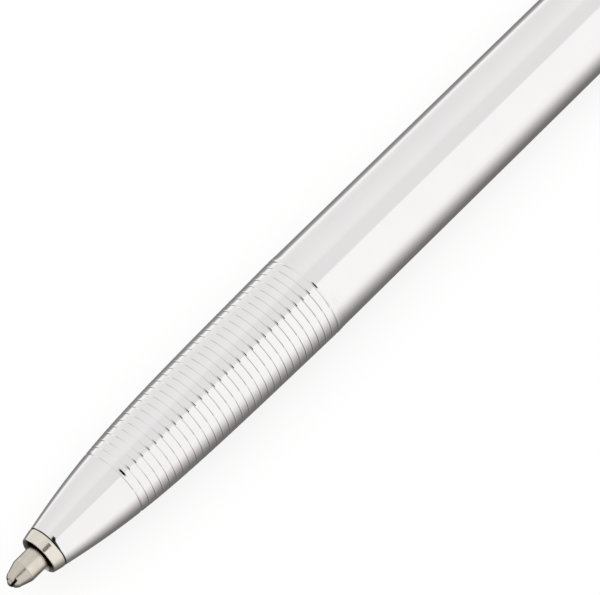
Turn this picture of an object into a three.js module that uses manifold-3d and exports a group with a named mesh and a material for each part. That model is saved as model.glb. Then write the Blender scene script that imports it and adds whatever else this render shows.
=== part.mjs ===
// Retractable ball pen with a pressurised cartridge, shown with its point out.
// Millimetres. The pen lies along X with its point towards -X, resting on its barrel and its clip.
// Every place along the pen is an x counted from the front of the writing ball.
import * as THREE from 'three';
import { mergeVertices } from 'three/addons/utils/BufferGeometryUtils.js';
import Module from 'manifold-3d';

const wasm = await Module();
wasm.setup();

// Clearances
const pressGap = 0.05; // round a piece that is pressed or cemented in
const slideGap = 0.15; // round a piece that slides
const threadGap = 0.1; // round the connector bush in the lower barrel
const seatGap = 0.05; // between faces that bear on each other
const buttonGap = 0.15; // round the side button's stem and flange
const clipGap = 0.15; // round the clip's tab in its notch

// Barrel
const barrelDiameter = 9.5;
const barrelWall = 0.7;
const seamPlace = 84; // where the two halves meet
const upperLength = 35;
const edgeBreak = 0.15; // small chamfer on each turned edge

// Nose of the lower barrel: a smooth curve from the nose ring to the end of the grip
const noseRadius = 2.37;
const noseSlope = 0.207; // rise of the curve where it starts
const noseHandle = 9.92; // length that the starting slope is held for
const gripEndSlope = 0.018;
const gripEndHandle = 19.9;
const gripProud = 0.04; // height of the grip's end over the barrel

// Grip: narrow V grooves with flat lands between them
const grooveCount = 31;
const groovePitch = 0.893;
const grooveWidth = 0.3;
const grooveDepth = 0.09;
const firstGroove = 14.4;
const gripLand = 0.21; // from the last groove to the grip's end

// Nose ring
const pointReach = 4; // how far the ball stands out of the ring
const ringLength = 1.4;
const ringFaceRadius = 1.92;
const ringEdge = 0.22; // rounding of its front edge
const ringFlat = 0.4; // straight stretch at its rear
const ringBreak = 0.06; // chamfer that shows as the line where it meets the nose
const ringBore = 1.65;
const ringSpigotWall = 0.25;
const ringSpigotLength = 1.8;

// Bores of the lower barrel
const springRoom = 0.22; // round the spring
const mainBoreSetback = 2.6; // main bore starts this far behind the grip
const boreCone = 1.5; // length of the tapered step into the main bore

// Writing point
const ballDiameter = 1;
const ballProud = 0.32; // how far the ball stands out of the lip
const ballGap = 0.03;
const lipWall = 0.14;
const lipRound = 0.055; // bulge of the crimped lip
const crimpDiameter = 1.8;
const crimpPlace = 0.8; // end of the crimped lip
const nibLength = 2; // from the ball's front to the neck
const nibSpigotLength = 2.5;
const nibSpigotDiameter = 1.7;
const feedDiameter = 0.6;

// Cartridge
const neckDiameter = 2.56;
const shoulderPlace = 16.2;
const cartridgeWall = 0.35;
const cartridgeEnd = 88.8;
const neckSpigotLength = 3;
const inkLength = 41;
const floatLength = 2.5;
const floatSkirt = 0.4; // depth of the hollow in the float's ends
const plugHead = 1.2;
const plugDepth = 2.3;

// Return spring
const wireDiameter = 0.35;
const springDiameter = 3.7; // mean
const springTurns = 10;

// Plunger
const travel = 5.5; // from point out to point in
const overTravel = 0.5; // past the catch when it is pushed right in
const cupWall = 0.4;
const cupDepth = 2;
const cupFloor = 1.5;
const collarWall = 0.85;
const collarLength = 1.5;
const rodShoulder = 0.3; // height of the step that the collar bears on
const rodStudDiameter = 2.4;
const rodStudLength = 1.2;
const capProud = 6; // how far the cap stands out of the crown, with the point out
const capCrown = 0.9; // rounding of the cap's end
const capEndWall = 2;

// Connector bush
const bushWall = 0.875; // behind its thread
const bushReach = 7; // into the lower barrel
const bushRearLength = 8; // into the upper barrel

// Crown and guide
const crownLength = 6;
const crownWall = 0.65; // of the spigot in the upper barrel
const crownRounding = 1.1;
const guideLength = 5.8;
const guideSetback = 1.2; // from the upper barrel's end
const guideFlange = 0.6;

// Latch leaf: a strip along the barrel that ends in an eye round the rod
const leafThickness = 0.3;
const leafWidth = 2.4;
const leafRise = 0.25; // strip's height over the cup that passes under it
const leafGrip = 2.8; // length held in the bush
const eyeBorder = 0.5;
const eyeEdgeRoom = 0.3; // from the eye to the barrel's bore
const eyeRoom = 0.15; // round the collar when the eye is pushed clear
const eyeOffset = 0.5; // how far the eye sits off centre when it holds the collar
const notchRoom = 0.1;

// Side button
const buttonDiameter = 2.6;
const buttonProud = 1.25;
const buttonDome = 0.78; // rounding of its head
const buttonSetback = 2.2; // from the eye, towards the point
const flangeRim = 0.4; // flange beyond the stem
const flangeThickness = 0.7;
const counterboreDepth = 0.25; // into the barrel's wall

// Clip
const clipThickness = 0.8;
const clipWidth = 3.8;
const clipTipWidth = 3;
const clipHeight = 2.15; // middle of the sheet over the barrel, at the root
const clipDrop = 0.25; // how much lower the arm runs at its front end
const clipLength = 33.2; // from the tab to the tip
const clipBend = 1; // radius at the root
const clipDip = 4.25; // length of the bend from the arm down to the heel
const clipEase = 2.1; // how far that bend runs straight at each end
const clipTipRise = 1.15;
const clipTipLength = 3;
const clipEdge = 0.25; // bevel along its outer edges
const clipRest = 0.1; // heel over the barrel
const tabDepth = 0.6; // how deep the tab sits in the barrel's wall

// Facets
const barrelSegments = 28;
const smallSegments = 20;
const coneSteps = 8;
const roundSteps = 4; // of the crown's, the cap's and the button's rounding
const ringSteps = 3; // of the nose ring's front edge
const ballSteps = 8;
const socketSteps = 5;
const stepsPerTurn = 8; // of the spring
const wireSides = 5;
const clipSteps = 6; // of each bend in the clip

// Making the shapes
const cutterRoom = 1; // how far a cutter runs past what it cuts
const cornerMerge = 1e-5; // corners nearer than this are one
const searchSteps = 40; // halvings when the nose curve is read at a place

// Places and sizes that follow from those above
const barrelRadius = barrelDiameter / 2;
const boreRadius = barrelRadius - barrelWall;
const ringPlace = pointReach + ringLength;
const springFront = ringPlace + ringSpigotLength;
const gripEnd = firstGroove + (grooveCount - 1) * groovePitch + gripLand;
const gripRadius = barrelRadius + gripProud;
const mainBorePlace = gripEnd + mainBoreSetback;
const springRadius = springDiameter / 2;
const wireRadius = wireDiameter / 2;
const neckRadius = neckDiameter / 2;
const bushBore = boreRadius - threadGap - bushWall;
const cupRadius = bushBore - slideGap;
const cupBore = cupRadius - cupWall;
const cartridgeRadius = cupBore - slideGap;
const cartridgeBore = cartridgeRadius - cartridgeWall;
const tailPlace = cartridgeEnd + plugHead;
const neckEnd = shoulderPlace + neckSpigotLength;
const cupRear = tailPlace + cupFloor;
const upperEnd = seamPlace + upperLength;
const crownEnd = upperEnd + crownLength;
const crownBore = boreRadius - pressGap - crownWall;
const guideRear = upperEnd - guideSetback;
const guideFront = guideRear - guideLength;
const crownFront = guideFront + guideFlange;
const collarRear = guideFront - travel;
const collarPlace = collarRear - collarLength;
const eyeRadius = boreRadius - eyeEdgeRoom - eyeOffset - eyeBorder;
const collarRadius = eyeRadius - eyeRoom;
const rodRearRadius = collarRadius - collarWall - pressGap;
const rodRadius = rodRearRadius + rodShoulder;
const capRadius = crownBore - slideGap;
const capFront = guideRear + overTravel + slideGap;
const capEnd = crownEnd + capProud;
const bushFront = seamPlace - bushReach;
const bushRear = seamPlace + bushRearLength;
const leafInner = cupRadius + leafRise;
const leafOuter = leafInner + leafThickness;
const leafFront = bushRear - leafGrip;
const eyePlace = collarRear + seatGap;
const buttonPlace = eyePlace - buttonSetback;
const buttonRadius = buttonDiameter / 2;
const flangeRadius = buttonRadius + flangeRim;
const flangeFoot = leafOuter + seatGap;
const counterboreTop = boreRadius + counterboreDepth;
const tabPlace = upperEnd - clipGap - clipThickness / 2;

// Materials
const metal = (color, roughness) => new THREE.MeshStandardMaterial({ color, roughness, metalness: 1 });
const plain = (color, roughness) => new THREE.MeshStandardMaterial({ color, roughness, metalness: 0 });
const chrome = metal(0xd9dadd, 0.06);
const nickel = metal(0xd6cfbe, 0.22);
const steel = metal(0xb9bcc1, 0.25);
const brass = metal(0xc8a560, 0.3);
const carbide = metal(0x8d8f93, 0.12);
const ink = plain(0x14172b, 0.35);
const sealant = plain(0xd9d6cc, 0.5);

// Keeps positions only, joins equal corners and drops triangles that have no area
function tidied(geometry) {
  for (const name of Object.keys(geometry.attributes)) {
    if (name !== 'position') geometry.deleteAttribute(name);
  }
  const merged = mergeVertices(geometry, cornerMerge);
  const corners = merged.index.array;
  const kept = [];
  for (let i = 0; i < corners.length; i += 3) {
    const [a, b, c] = corners.slice(i, i + 3);
    if (a !== b && b !== c && c !== a) kept.push(a, b, c);
  }
  merged.setIndex(kept);
  return merged;
}

// A turned piece. The profile lists [x, radius], rearwards along the outside and back along the bore
function turned(profile, segments = barrelSegments) {
  const onAxis = profile[0][1] === 0 && profile.at(-1)[1] === 0;
  const outline = onAxis ? profile : [...profile, profile[0]];
  const points = outline.map(([x, radius]) => new THREE.Vector2(radius, x));
  return tidied(new THREE.LatheGeometry(points, segments).rotateZ(-Math.PI / 2));
}

function toSolid(geometry) {
  const { position } = geometry.attributes;
  return new wasm.Manifold(new wasm.Mesh({
    numProp: 3,
    vertProperties: new Float32Array(position.array),
    triVerts: new Uint32Array(geometry.index.array),
  }));
}

function fromSolid(solid) {
  const { vertProperties, triVerts } = solid.getMesh();
  const geometry = new THREE.BufferGeometry();
  geometry.setAttribute('position', new THREE.BufferAttribute(vertProperties, 3));
  geometry.setIndex(new THREE.BufferAttribute(triVerts, 1));
  return geometry;
}

function cut(geometry, cutters) {
  return fromSolid(cutters.reduce((solid, cutter) => solid.subtract(toSolid(cutter)), toSolid(geometry)));
}

// A box given by its limits
function block([x0, x1], [y0, y1], [z0, z1]) {
  const box = new THREE.BoxGeometry(x1 - x0, y1 - y0, z1 - z0);
  return tidied(box.translate((x0 + x1) / 2, (y0 + y1) / 2, (z0 + z1) / 2));
}

// A closed skin over rings of points, each ring a convex outline with as many points as the last
function loft(rings) {
  const size = rings[0].length;
  const faces = [];
  rings.slice(1).forEach((_, ring) => {
    for (let i = 0; i < size; i += 1) {
      const [a, b] = [ring * size + i, ring * size + ((i + 1) % size)];
      faces.push(a, b, b + size, a, b + size, a + size);
    }
  });
  const last = (rings.length - 1) * size;
  for (let i = 1; i < size - 1; i += 1) {
    faces.push(0, i + 1, i, last, last + i, last + i + 1);
  }
  const geometry = new THREE.BufferGeometry().setFromPoints(rings.flat());
  geometry.setIndex(faces);
  return geometry;
}

// Radius of the nose curve at a place along the pen
const noseCurve = new THREE.CubicBezierCurve(
  new THREE.Vector2(ringPlace, noseRadius),
  new THREE.Vector2(ringPlace + noseHandle, noseRadius + noseSlope * noseHandle),
  new THREE.Vector2(gripEnd - gripEndHandle, gripRadius - gripEndSlope * gripEndHandle),
  new THREE.Vector2(gripEnd, gripRadius),
);
function curveRadius(x) {
  let [low, high] = [0, 1];
  for (let i = 0; i < searchSteps; i += 1) {
    const middle = (low + high) / 2;
    if (noseCurve.getPoint(middle).x < x) low = middle;
    else high = middle;
  }
  return noseCurve.getPoint(high).y;
}

// A convex quarter round from one corner to the other, for a turned edge on the rear side
function rearRound(x, radius, rounding, steps) {
  return Array.from({ length: steps + 1 }, (_, i) => {
    const angle = (i / steps) * Math.PI / 2;
    return [x - rounding * (1 - Math.sin(angle)), radius - rounding * (1 - Math.cos(angle))];
  });
}

function lowerBarrel() {
  const cone = Array.from({ length: coneSteps }, (_, i) => {
    const x = ringPlace + (i / coneSteps) * (firstGroove - grooveWidth / 2 - ringPlace);
    return [x, curveRadius(x)];
  });
  const grooves = Array.from({ length: grooveCount }, (_, i) => {
    const x = firstGroove + i * groovePitch;
    const [front, rear] = [x - grooveWidth / 2, x + grooveWidth / 2];
    return [[front, curveRadius(front)], [x, curveRadius(x) - grooveDepth], [rear, curveRadius(rear)]];
  }).flat();
  const springBore = springRadius + wireRadius + springRoom;
  const cartridgeHole = cartridgeRadius + slideGap;
  const boreStep = shoulderPlace - overTravel - slideGap;
  const noseBore = ringBore + ringSpigotWall + pressGap;
  return turned([
    ...cone,
    ...grooves,
    [gripEnd, gripRadius],
    [gripEnd + gripProud, barrelRadius],
    [seamPlace - edgeBreak, barrelRadius],
    [seamPlace, barrelRadius - edgeBreak],
    [seamPlace, boreRadius],
    [mainBorePlace + boreCone, boreRadius],
    [mainBorePlace, cartridgeHole],
    [boreStep, cartridgeHole],
    [boreStep, springBore],
    [springFront, springBore],
    [springFront, noseBore],
    [ringPlace, noseBore],
  ]);
}

function noseRing() {
  const edge = rearRound(0, ringFaceRadius + ringEdge, ringEdge, ringSteps)
    .map(([x, radius]) => [pointReach - x, radius]).reverse();
  const spigot = ringBore + ringSpigotWall;
  return turned([
    ...edge,
    [ringPlace - ringFlat, noseRadius],
    [ringPlace - ringBreak, noseRadius],
    [ringPlace, noseRadius - ringBreak],
    [ringPlace, spigot],
    [springFront, spigot],
    [springFront, ringBore],
    [pointReach + edgeBreak, ringBore],
    [pointReach, ringBore + edgeBreak],
  ], smallSegments);
}

// The spring's wire, a helix with square ends
function returnSpring() {
  const start = springFront + wireRadius + seatGap;
  const length = shoulderPlace - springFront - wireDiameter - 2 * seatGap;
  const steps = springTurns * stepsPerTurn;
  const centre = (i) => {
    const angle = (i / stepsPerTurn) * 2 * Math.PI;
    const x = start + (i / steps) * length;
    return new THREE.Vector3(x, springRadius * Math.sin(angle), springRadius * Math.cos(angle));
  };
  const rings = Array.from({ length: steps + 1 }, (_, i) => {
    const middle = centre(i);
    const along = centre(i + 1).sub(centre(i - 1)).normalize();
    const out = new THREE.Vector3(0, middle.y, middle.z).normalize();
    const side = new THREE.Vector3().crossVectors(along, out);
    return Array.from({ length: wireSides }, (_, k) => {
      const angle = (k / wireSides) * 2 * Math.PI;
      return middle.clone()
        .addScaledVector(out, wireRadius * Math.cos(angle))
        .addScaledVector(side, wireRadius * Math.sin(angle));
    });
  });
  let least = Infinity;
  for (let i = 0; i + stepsPerTurn <= steps; i += 1) {
    least = Math.min(least, centre(i).distanceTo(centre(i + stepsPerTurn)) - wireDiameter);
  }
  console.log(`least gap between the spring's turns: ${least.toFixed(3)} mm`);
  return loft(rings);
}

function refillBall() {
  const radius = ballDiameter / 2;
  return turned(Array.from({ length: ballSteps + 1 }, (_, i) => {
    const angle = (i / ballSteps) * Math.PI;
    const onAxis = i === 0 || i === ballSteps;
    return [radius - radius * Math.cos(angle), onAxis ? 0 : radius * Math.sin(angle)];
  }), smallSegments);
}

// The nib holds the ball in a round socket under its crimped lip
function refillNib() {
  const socket = ballDiameter / 2 + ballGap;
  const centre = ballDiameter / 2;
  const lipBore = Math.sqrt(socket ** 2 - (centre - ballProud) ** 2);
  const lipAngle = Math.asin(lipBore / socket);
  const feed = feedDiameter / 2;
  const feedAngle = Math.PI - Math.asin(feed / socket);
  const seat = Array.from({ length: socketSteps + 1 }, (_, i) => {
    const angle = feedAngle + (i / socketSteps) * (lipAngle - feedAngle);
    return [centre - socket * Math.cos(angle), socket * Math.sin(angle)];
  });
  const spigotEnd = nibLength + nibSpigotLength;
  return turned([
    [ballProud, lipBore + lipWall],
    [(ballProud + crimpPlace) / 2, (lipBore + lipWall + crimpDiameter / 2) / 2 + lipRound],
    [crimpPlace, crimpDiameter / 2],
    [nibLength, neckRadius],
    [nibLength, nibSpigotDiameter / 2],
    [spigotEnd, nibSpigotDiameter / 2],
    [spigotEnd, feed],
    ...seat,
  ], smallSegments);
}

function refillNeck() {
  const nibHole = nibSpigotDiameter / 2 + pressGap;
  const feed = feedDiameter / 2;
  const spigotEnd = nibLength + nibSpigotLength + seatGap;
  return turned([
    [nibLength, neckRadius],
    [shoulderPlace, neckRadius],
    [shoulderPlace, cartridgeBore - pressGap],
    [neckEnd, cartridgeBore - pressGap],
    [neckEnd, feed],
    [spigotEnd, feed],
    [spigotEnd, nibHole],
    [nibLength, nibHole],
  ], smallSegments);
}

function refillTube() {
  return turned([
    [shoulderPlace, cartridgeRadius - edgeBreak],
    [shoulderPlace + edgeBreak, cartridgeRadius],
    [cartridgeEnd, cartridgeRadius],
    [cartridgeEnd, cartridgeBore],
    [shoulderPlace, cartridgeBore],
  ], smallSegments);
}

// Ink, with the thread of it that feeds the ball
function inkColumn() {
  const feedFront = ballDiameter + 2 * ballGap;
  const feed = feedDiameter / 2 - pressGap;
  const front = neckEnd + seatGap;
  return turned([
    [feedFront, 0],
    [feedFront, feed],
    [front, feed],
    [front, cartridgeBore - pressGap],
    [front + inkLength, cartridgeBore - pressGap],
    [front + inkLength, 0],
  ], smallSegments);
}

function floatPiston() {
  const front = neckEnd + seatGap + inkLength + seatGap;
  const rear = front + floatLength;
  const radius = cartridgeBore - pressGap;
  return turned([
    [front + floatSkirt, 0],
    [front, radius - edgeBreak],
    [front + edgeBreak, radius],
    [rear - edgeBreak, radius],
    [rear, radius - edgeBreak],
    [rear - floatSkirt, 0],
  ], smallSegments);
}

function tailPlug() {
  return turned([
    [cartridgeEnd - plugDepth, 0],
    [cartridgeEnd - plugDepth, cartridgeBore - pressGap],
    [cartridgeEnd, cartridgeBore - pressGap],
    [cartridgeEnd, cartridgeRadius],
    [tailPlace - edgeBreak, cartridgeRadius],
    [tailPlace, cartridgeRadius - edgeBreak],
    [tailPlace, 0],
  ], smallSegments);
}

function refillCup() {
  const studHole = rodStudDiameter / 2 + pressGap;
  const studFront = cupRear - rodStudLength - seatGap;
  return turned([
    [tailPlace + seatGap, 0],
    [tailPlace + seatGap, cupBore],
    [tailPlace - cupDepth, cupBore],
    [tailPlace - cupDepth, cupRadius - edgeBreak],
    [tailPlace - cupDepth + edgeBreak, cupRadius],
    [cupRear, cupRadius],
    [cupRear, studHole],
    [studFront, studHole],
    [studFront, 0],
  ], smallSegments);
}

function plungerRod() {
  const stud = rodStudDiameter / 2;
  const rear = capEnd - capEndWall;
  return turned([
    [cupRear - rodStudLength, 0],
    [cupRear - rodStudLength, stud],
    [cupRear, stud],
    [cupRear, rodRadius],
    [collarPlace, rodRadius],
    [collarPlace, rodRearRadius],
    [rear - edgeBreak, rodRearRadius],
    [rear, rodRearRadius - edgeBreak],
    [rear, 0],
  ], smallSegments);
}

function catchCollar() {
  return turned([
    [collarPlace, collarRadius - edgeBreak],
    [collarPlace + edgeBreak, collarRadius],
    [collarRear, collarRadius],
    [collarRear, rodRearRadius + pressGap],
    [collarPlace, rodRearRadius + pressGap],
  ], smallSegments);
}

function plungerCap() {
  const hole = rodRearRadius + pressGap;
  const holeEnd = capEnd - capEndWall + seatGap;
  return turned([
    [capFront, hole],
    [capFront, capRadius - edgeBreak],
    [capFront + edgeBreak, capRadius],
    ...rearRound(capEnd, capRadius, capCrown, roundSteps),
    [capEnd, 0],
    [holeEnd, 0],
    [holeEnd, hole],
  ]);
}

function guideBush() {
  return turned([
    [guideFront, crownBore + crownWall / 2],
    [crownFront, crownBore + crownWall / 2],
    [crownFront, crownBore - pressGap],
    [guideRear, crownBore - pressGap],
    [guideRear, rodRearRadius + slideGap],
    [guideFront, rodRearRadius + slideGap],
  ]);
}

function crown() {
  return turned([
    [crownFront, boreRadius - pressGap],
    [upperEnd, boreRadius - pressGap],
    [upperEnd, barrelRadius - edgeBreak],
    [upperEnd + edgeBreak, barrelRadius],
    ...rearRound(crownEnd, barrelRadius, crownRounding, roundSteps),
    [crownEnd, crownBore],
    [crownFront, crownBore],
  ]);
}

// The button's stem, flange and domed head, turned about the X axis with the head towards +X
function sideButton() {
  const top = barrelRadius + buttonProud;
  return turned([
    [flangeFoot, 0],
    [flangeFoot, flangeRadius],
    [flangeFoot + flangeThickness, flangeRadius],
    [flangeFoot + flangeThickness, buttonRadius],
    ...rearRound(top, buttonRadius, buttonDome, roundSteps),
    [top, 0],
  ], smallSegments);
}

// Bush with a notch for the leaf's foot, on the button's side
function connectorBush(sideTurn) {
  const inUpper = boreRadius - pressGap;
  const inLower = boreRadius - threadGap;
  const bush = turned([
    [bushFront, inLower - edgeBreak],
    [bushFront + edgeBreak, inLower],
    [seamPlace, inLower],
    [seamPlace, inUpper],
    [bushRear, inUpper],
    [bushRear, bushBore],
    [bushFront, bushBore],
  ]);
  const halfWidth = leafWidth / 2 + notchRoom;
  const notch = block(
    [leafFront - notchRoom, bushRear + cutterRoom],
    [-halfWidth, halfWidth],
    [0, leafOuter + notchRoom],
  );
  return cut(bush, [notch.applyMatrix4(sideTurn)]);
}

// Tube with the button's stepped hole above and the clip's notch below
function upperBarrel(sideTurn) {
  const shell = turned([
    [seamPlace, barrelRadius - edgeBreak],
    [seamPlace + edgeBreak, barrelRadius],
    [upperEnd - edgeBreak, barrelRadius],
    [upperEnd, barrelRadius - edgeBreak],
    [upperEnd, boreRadius],
    [seamPlace, boreRadius],
  ]);
  const upright = (radius, bottom, top) => turned(
    [[bottom, 0], [bottom, radius], [top, radius], [top, 0]],
    smallSegments,
  ).rotateY(-Math.PI / 2).translate(buttonPlace, 0, 0);
  const hole = upright(buttonRadius + buttonGap, 0, barrelDiameter);
  const counterbore = upright(flangeRadius + buttonGap, 0, counterboreTop);
  const halfWidth = clipWidth / 2 + clipGap;
  const notch = block(
    [tabPlace - clipThickness / 2 - clipGap, upperEnd + cutterRoom],
    [-halfWidth, halfWidth],
    [-barrelDiameter, 0],
  );
  return cut(shell, [hole, counterbore, notch].map((cutter) => cutter.applyMatrix4(sideTurn)));
}

// Strip and eye in one sheet. The eye's far edge holds the collar until the button pushes it clear
function latchLeaf() {
  const [rear, half] = [eyePlace + leafThickness, leafWidth / 2];
  const strip = block([leafFront, rear], [-half, half], [leafInner, leafOuter]);
  const outline = new THREE.Shape().absarc(0, eyeOffset, eyeRadius + eyeBorder, 0, 2 * Math.PI);
  outline.holes.push(new THREE.Path().absarc(0, eyeOffset, eyeRadius, 0, 2 * Math.PI, true));
  const arcSteps = smallSegments / 2;
  const sheet = { depth: leafThickness, bevelEnabled: false, curveSegments: arcSteps };
  const eye = new THREE.ExtrudeGeometry(outline, sheet).rotateY(Math.PI / 2).rotateX(Math.PI / 2);
  return fromSolid(toSolid(strip).add(toSolid(tidied(eye.translate(eyePlace, 0, 0)))));
}

// Middle line of the clip's sheet as [x, height over the axis], from the tab to the tip
function clipLine() {
  const high = barrelRadius + clipHeight;
  const heelPlace = tabPlace - clipLength + clipTipLength;
  const heelHeight = barrelRadius + clipRest + clipThickness / 2;
  const armEnd = heelPlace + clipDip;
  const line = new THREE.Path();
  line.moveTo(tabPlace, barrelRadius - tabDepth);
  line.lineTo(tabPlace, high - clipBend);
  line.quadraticCurveTo(tabPlace, high, tabPlace - clipBend, high);
  line.lineTo(armEnd, high - clipDrop);
  line.bezierCurveTo(
    armEnd - clipEase, high - clipDrop,
    heelPlace + clipEase, heelHeight,
    heelPlace, heelHeight,
  );
  line.quadraticCurveTo(
    heelPlace - clipTipLength / 2, heelHeight,
    heelPlace - clipTipLength, heelHeight + clipTipRise,
  );
  return line.getPoints(clipSteps);
}

// The clip, modelled along -Z of the pen's axis: a flat inner face and bevelled outer edges
function clip() {
  const line = clipLine();
  const rings = line.map((point, i) => {
    const before = line[Math.max(i - 1, 0)];
    const after = line[Math.min(i + 1, line.length - 1)];
    const along = after.clone().sub(before).normalize();
    const out = new THREE.Vector2(along.y, -along.x);
    const share = i / (line.length - 1);
    const half = (clipWidth + share * (clipTipWidth - clipWidth)) / 2;
    const corner = (side, height) => {
      const place = point.clone().addScaledVector(out, height);
      return new THREE.Vector3(place.x, side, -place.y);
    };
    const [inner, outer] = [-clipThickness / 2, clipThickness / 2];
    return [
      corner(-half, inner),
      corner(half, inner),
      corner(half, outer - clipEdge),
      corner(half - clipEdge, outer),
      corner(clipEdge - half, outer),
      corner(-half, outer - clipEdge),
    ];
  });
  return loft(rings);
}

// Turn about the pen's axis that brings the clip down to the level of the barrel's underside
function restingTurn(geometry) {
  const { position } = geometry.attributes;
  const turns = Array.from({ length: position.count }, (_, i) => {
    const [side, down] = [position.getY(i), -position.getZ(i)];
    const reach = Math.hypot(side, down);
    return reach > barrelRadius ? Math.acos(barrelRadius / reach) - Math.atan2(side, down) : 0;
  });
  return Math.max(...turns);
}

function piece(name, geometry, material) {
  const mesh = new THREE.Mesh(geometry, material);
  mesh.name = name;
  return mesh;
}

function assembly(...pieces) {
  const group = new THREE.Group();
  group.add(...pieces);
  return group;
}

function cartridge() {
  return assembly(
    piece('refill_ball', refillBall(), carbide),
    piece('refill_nib', refillNib(), nickel),
    piece('refill_neck', refillNeck(), nickel),
    piece('refill_tube', refillTube(), brass),
    piece('ink_column', inkColumn(), ink),
    piece('float_piston', floatPiston(), sealant),
    piece('tail_plug', tailPlug(), brass),
  );
}

function plunger() {
  return assembly(
    piece('refill_cup', refillCup(), brass),
    piece('plunger_rod', plungerRod(), steel),
    piece('catch_collar', catchCollar(), steel),
    piece('plunger_cap', plungerCap(), chrome),
  );
}

const clipGeometry = clip();
const clipTurn = restingTurn(clipGeometry);
const sideTurn = new THREE.Matrix4().makeRotationX(clipTurn);

const lowerHalf = assembly(
  piece('lower_barrel', lowerBarrel(), chrome),
  piece('nose_ring', noseRing(), nickel),
  piece('return_spring', returnSpring(), steel),
);

const upperHalf = assembly(
  piece('upper_barrel', upperBarrel(sideTurn), chrome),
  piece('connector_bush', connectorBush(sideTurn), brass),
  piece('crown', crown(), chrome),
  piece('guide_bush', guideBush(), brass),
);

const button = piece('side_button', sideButton(), chrome);
button.rotation.y = -Math.PI / 2;
button.position.x = buttonPlace;

const sideFittings = assembly(
  piece('clip', clipGeometry, chrome),
  piece('latch_leaf', latchLeaf(), steel),
  button,
);
sideFittings.rotation.x = clipTurn;

const pen = assembly(lowerHalf, upperHalf, sideFittings, cartridge(), plunger());

// The pen is centred along X and Y, and its lowest point is at height 0
const box = new THREE.Box3().setFromObject(pen, true);
const middle = box.getCenter(new THREE.Vector3());
pen.position.set(-middle.x, -middle.y, -box.min.z);

export default pen;
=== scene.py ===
import math

import bmesh
import bpy
from mathutils import Matrix, Vector

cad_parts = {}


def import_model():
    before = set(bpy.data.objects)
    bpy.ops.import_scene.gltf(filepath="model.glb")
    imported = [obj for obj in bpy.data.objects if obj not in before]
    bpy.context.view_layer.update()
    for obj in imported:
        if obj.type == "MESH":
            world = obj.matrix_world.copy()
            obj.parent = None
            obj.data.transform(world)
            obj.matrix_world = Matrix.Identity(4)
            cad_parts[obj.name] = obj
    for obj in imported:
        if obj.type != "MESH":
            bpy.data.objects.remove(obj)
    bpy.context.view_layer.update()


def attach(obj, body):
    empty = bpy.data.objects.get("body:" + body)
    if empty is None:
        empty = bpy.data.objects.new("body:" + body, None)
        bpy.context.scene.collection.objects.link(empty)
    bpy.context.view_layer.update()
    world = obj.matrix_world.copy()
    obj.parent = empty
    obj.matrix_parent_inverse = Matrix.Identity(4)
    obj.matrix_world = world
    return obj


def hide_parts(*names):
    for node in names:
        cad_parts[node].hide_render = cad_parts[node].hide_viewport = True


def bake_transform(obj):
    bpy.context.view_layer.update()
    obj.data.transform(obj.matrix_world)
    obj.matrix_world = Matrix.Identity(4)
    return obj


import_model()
scene = bpy.context.scene

MM = 0.001
TIP_X = -65.5       # x of the ball's front in the shared frame, mm
AXIS_Y = -0.76256   # y and z of the pen's axis there, mm
AXIS_Z = 4.79
SIDE = Vector((0, 0.892887, -0.450281))   # from the axis towards the clip; the button is opposite

CORNER_TURN = math.radians(14)    # a corner of an outline that turns less isn't rounded
CORNER_SHARE = 0.42               # the most of a corner's shorter side that its rounding takes
CORNER_STEPS = 4
SUPPORT_ROOM = 0.035              # from the end of a long stretch to the ring that supports it, mm
LONGEST_STRETCH = 6               # mm between rings on a plain stretch
ON_AXIS = 1e-6                    # a smaller radius is a point on the axis
SAME_RADIUS = 1e-3                # mm
THREAD_STEPS = 12                 # rings for each turn of a thread


# Mesh helpers

def world(x, y, z):
    """From the ball's front and the axis, in mm, to the shared frame, in m."""
    return ((x + TIP_X) * MM, (y + AXIS_Y) * MM, (z + AXIS_Z) * MM)


def mesh_object(name, verts, faces, material, smooth=True):
    """A new object in the scene, with its faces turned outwards."""
    mesh = bpy.data.meshes.new(name)
    mesh.from_pydata(verts, [], faces)
    mesh.validate()
    bm = bmesh.new()
    bm.from_mesh(mesh)
    bmesh.ops.recalc_face_normals(bm, faces=bm.faces)
    bm.to_mesh(mesh)
    bm.free()
    for poly in mesh.polygons:
        poly.use_smooth = smooth
    obj = bpy.data.objects.new(name, mesh)
    scene.collection.objects.link(obj)
    mesh.materials.append(material)
    return obj


def softened(profile, radius, closed):
    """Replaces each sharp corner of an outline of (x, r) by a small arc."""
    out = []
    count = len(profile)
    for i, point in enumerate(profile):
        if not closed and i in (0, count - 1):
            out.append(tuple(point))
            continue
        p = Vector(point)
        a = Vector(profile[i - 1]) - p
        b = Vector(profile[(i + 1) % count]) - p
        if a.length < 1e-6 or b.length < 1e-6:
            continue
        turn = math.pi - a.angle(b)
        if turn < CORNER_TURN:
            out.append(tuple(point))
            continue
        reach = min(radius * math.tan(turn / 2), CORNER_SHARE * a.length, CORNER_SHARE * b.length)
        start, end = p + a.normalized() * reach, p + b.normalized() * reach
        for k in range(CORNER_STEPS + 1):
            t = k / CORNER_STEPS
            out.append(tuple(start * (1 - t) ** 2 + p * 2 * t * (1 - t) + end * t ** 2))
    return out


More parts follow.
